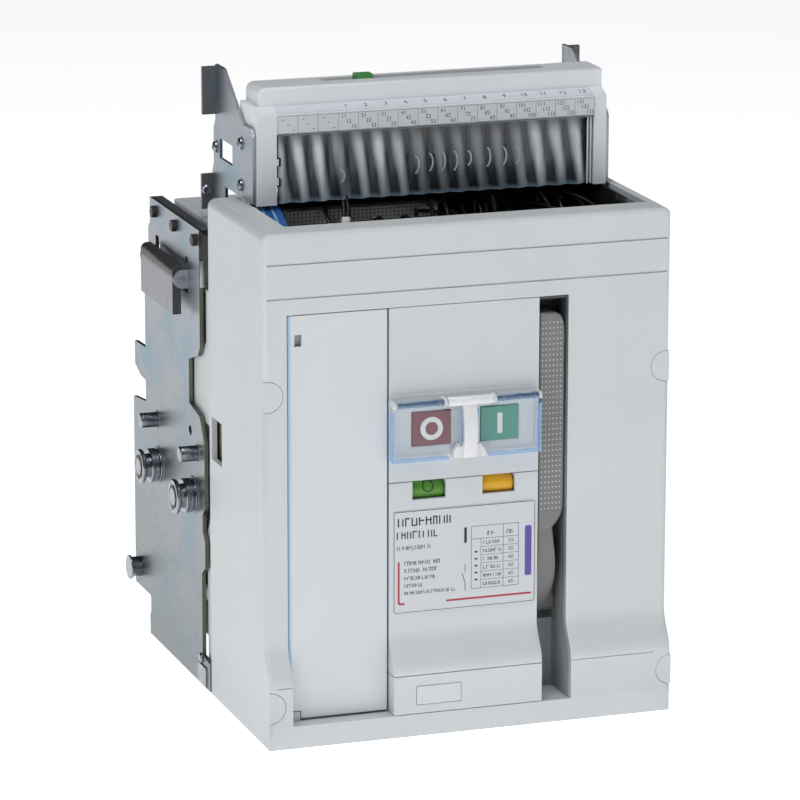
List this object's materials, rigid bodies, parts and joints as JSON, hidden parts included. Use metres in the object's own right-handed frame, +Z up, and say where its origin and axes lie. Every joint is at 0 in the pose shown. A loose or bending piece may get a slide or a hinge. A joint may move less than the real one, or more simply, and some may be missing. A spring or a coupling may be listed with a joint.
{
  "type": "air circuit breaker",
  "caption": "Draw-out air circuit breaker with a moulded front cover, charging handle, push buttons under clear flaps, side plates with rollers and a terminal carrier on top",
  "frame": {"origin": "on the base plane, under the front plane of the cover, at mid width", "axes": "+Y runs back into the cradle, +X to the right seen from the front, +Z up"},
  "size_m": [0.288, 0.2983, 0.392],
  "materials": {
    "cover_plastic": "fine moulded texture",
    "panel_plastic": "fine moulded texture",
    "door_clear": "clear moulded plastic, frosted back",
    "blue_clear": "clear blue moulded plastic",
    "clasp_white": "satin",
    "button_red": "satin",
    "button_green": "satin",
    "flag_green": "satin",
    "flag_yellow": "satin",
    "label_print": "printed film",
    "handle_grey": "satin with moulded dots",
    "recess_dark": "satin",
    "zinc_steel": "blue zinc plated",
    "bright_steel": "turned and plated",
    "grey_steel": "fine texture coat",
    "black_steel": "black oxide",
    "black_plastic": "fine texture",
    "housing_grey": "moulded polyester",
    "chute_cream": "moulded polyester",
    "splitter_steel": "plated",
    "copper": "silver plated copper",
    "carrier_plastic": "fine moulded texture",
    "window_clear": "clear fluted plastic",
    "block_grey": "moulded",
    "strip_print": "printed film",
    "plug_green": "moulded",
    "wire_insulation": "soft insulation",
    "coil_tape": "wound and taped",
    "frame_steel": "yellow zinc plated",
    "spring_steel": "oiled",
    "unit_grey": "moulded"
  },
  "bodies": {
    "root": {"front_cover": "cover_plastic", "cover_screw_plugs": "cover_plastic", "control_panel": "panel_plastic", "lower_panel": "panel_plastic", "lower_fascia": "panel_plastic", "label_plates": "label_print", "button_bezel": "panel_plastic", "button_springs": "spring_steel", "blank_panel": "unit_grey", "trip_unit": "unit_grey", "handle_recess": "recess_dark", "closing_spring": "spring_steel", "mechanism_frame": "frame_steel", "release_coils": "coil_tape", "auxiliary_contacts": "black_plastic", "pole_housing_front": "housing_grey", "pole_housing_rear": "housing_grey", "arc_chutes": "chute_cream", "splitter_plates": "splitter_steel", "terminals": "copper", "current_sensors": "black_plastic", "cluster_fingers": "copper", "cluster_cages": "black_plastic", "side_plate_left": "zinc_steel", "side_plate_right": "zinc_steel", "plate_screws": "black_steel", "plate_end_blocks": "black_plastic", "side_pins": "bright_steel", "terminal_carrier": "carrier_plastic", "carrier_window": "window_clear", "terminal_blocks": "block_grey", "number_strips": "strip_print", "signal_plug": "plug_green", "carrier_bracket_left": "zinc_steel", "carrier_bracket_right": "zinc_steel", "bracket_screws": "bright_steel", "wiring": "wire_insulation"},
    "handle": {"charging_handle": "handle_grey"},
    "pawl": {"pawl_lever": "frame_steel"},
    "camshaft": {"camshaft": "spring_steel"},
    "carriage": {"spring_carriage": "frame_steel"},
    "charge_indicator": {"charge_flag": "flag_yellow"},
    "main_shaft": {"main_shaft": "spring_steel"},
    "contacts": {"contact_carriers": "black_plastic", "contact_arms": "copper"},
    "position_indicator": {"position_flag": "flag_green"},
    "off_button": {"off_button": "button_red"},
    "on_button": {"on_button": "button_green"},
    "trip_shaft": {"trip_shaft": "spring_steel"},
    "close_latch": {"close_latch": "spring_steel"},
    "flap_left": {"flap_left": "blue_clear"},
    "flap_right": {"flap_right": "blue_clear"},
    "clasp": {"flap_clasp": "clasp_white"},
    "door": {"trip_door": "door_clear"},
    "lift_left": {"lift_flap_left": "grey_steel"},
    "lift_right": {"lift_flap_right": "grey_steel"},
    "roller_left_front": {"roller_left_front": "bright_steel"},
    "roller_left_rear": {"roller_left_rear": "bright_steel"},
    "roller_right_front": {"roller_right_front": "bright_steel"},
    "roller_right_rear": {"roller_right_rear": "bright_steel"}
  },
  "joints": [
    {"name": "handle_pull", "type": "hinge", "parent": "root", "child": "handle", "pos_m": [0.0537, 0.026, 0.072], "axis": [1, 0, 0], "range_deg": [0, 70], "stiffness_Nm_per_rad": 0.6, "springref_deg": -17.19},
    {"name": "pawl_swing", "type": "hinge", "parent": "root", "child": "pawl", "pos_m": [0.0577, 0.07, 0.1198], "axis": [1, 0, 0], "range_deg": [-47, 0]},
    {"name": "camshaft_turn", "type": "hinge", "parent": "root", "child": "camshaft", "pos_m": [0, 0.07, 0.1198], "axis": [1, 0, 0], "range_deg": [0, 180]},
    {"name": "carriage_slide", "type": "slide", "parent": "root", "child": "carriage", "axis": [0, 0, 1], "range_m": [0, 0.0141], "deforming": ["closing_spring"]},
    {"name": "charge_flag_turn", "type": "hinge", "parent": "root", "child": "charge_indicator", "pos_m": [0.0195, 0.0095, 0.1514], "axis": [1, 0, 0], "range_deg": [0, 91]},
    {"name": "main_shaft_turn", "type": "hinge", "parent": "root", "child": "main_shaft", "pos_m": [0, 0.098, 0.158], "axis": [1, 0, 0], "range_deg": [0, 15.8]},
    {"name": "contact_swing", "type": "hinge", "parent": "root", "child": "contacts", "pos_m": [0, 0.168, 0.092], "axis": [-1, 0, 0], "range_deg": [0, 14.1]},
    {"name": "position_flag_turn", "type": "hinge", "parent": "root", "child": "position_indicator", "pos_m": [-0.0253, 0.0095, 0.1514], "axis": [1, 0, 0], "range_deg": [0, 91]},
    {"name": "off_press", "type": "slide", "parent": "root", "child": "off_button", "axis": [0, 1, 0], "range_m": [0, 0.005], "stiffness_N_per_m": 400, "springref_m": -0.003},
    {"name": "on_press", "type": "slide", "parent": "root", "child": "on_button", "axis": [0, 1, 0], "range_m": [0, 0.005], "stiffness_N_per_m": 400, "springref_m": -0.003},
    {"name": "trip_shaft_turn", "type": "hinge", "parent": "root", "child": "trip_shaft", "pos_m": [0, 0.06, 0.226], "axis": [1, 0, 0], "range_deg": [0, 8.4]},
    {"name": "close_latch_turn", "type": "hinge", "parent": "root", "child": "close_latch", "pos_m": [0, 0.06, 0.176], "axis": [1, 0, 0], "range_deg": [-18.6, 0]},
    {"name": "flap_left_lift", "type": "hinge", "parent": "root", "child": "flap_left", "pos_m": [-0.03, -0.0076, 0.2085], "axis": [-1, 0, 0], "range_deg": [0, 110]},
    {"name": "flap_right_lift", "type": "hinge", "parent": "root", "child": "flap_right", "pos_m": [0.03, -0.0076, 0.2085], "axis": [-1, 0, 0], "range_deg": [0, 110]},
    {"name": "clasp_lift", "type": "hinge", "parent": "root", "child": "clasp", "pos_m": [-0.002, -0.0076, 0.2085], "axis": [-1, 0, 0], "range_deg": [0, 110]},
    {"name": "door_swing", "type": "hinge", "parent": "root", "child": "door", "pos_m": [-0.1132, 0.0019, 0.14], "axis": [0, 0, -1], "range_deg": [0, 90]},
    {"name": "lift_left_swing", "type": "hinge", "parent": "root", "child": "lift_left", "pos_m": [-0.1339, 0.194, 0.2577], "axis": [0, 1, 0], "range_deg": [0, 90]},
    {"name": "lift_right_swing", "type": "hinge", "parent": "root", "child": "lift_right", "pos_m": [0.1339, 0.194, 0.2577], "axis": [0, -1, 0], "range_deg": [0, 90]},
    {"name": "roller_left_front_spin", "type": "hinge", "parent": "root", "child": "roller_left_front", "pos_m": [-0.1376, 0.1498, 0.12], "axis": [1, 0, 0], "continuous": true},
    {"name": "roller_left_rear_spin", "type": "hinge", "parent": "root", "child": "roller_left_rear", "pos_m": [-0.1376, 0.2278, 0.12], "axis": [1, 0, 0], "continuous": true},
    {"name": "roller_right_front_spin", "type": "hinge", "parent": "root", "child": "roller_right_front", "pos_m": [0.1376, 0.1498, 0.12], "axis": [1, 0, 0], "continuous": true},
    {"name": "roller_right_rear_spin", "type": "hinge", "parent": "root", "child": "roller_right_rear", "pos_m": [0.1376, 0.2278, 0.12], "axis": [1, 0, 0], "continuous": true}
  ],
  "couplings": [
    {"joint": "pawl_swing", "follows": "handle_pull", "ratio": -0.66667},
    {"joint": "carriage_slide", "follows": "camshaft_turn", "m_per_rad": 0.004456},
    {"joint": "charge_flag_turn", "follows": "camshaft_turn", "ratio": 0.5},
    {"joint": "contact_swing", "follows": "main_shaft_turn", "ratio": 0.8863},
    {"joint": "position_flag_turn", "follows": "main_shaft_turn", "ratio": 5.7},
    {"joint": "trip_shaft_turn", "follows": "off_press", "rad_per_m": 29},
    {"joint": "close_latch_turn", "follows": "on_press", "rad_per_m": -64.5}
  ]
}
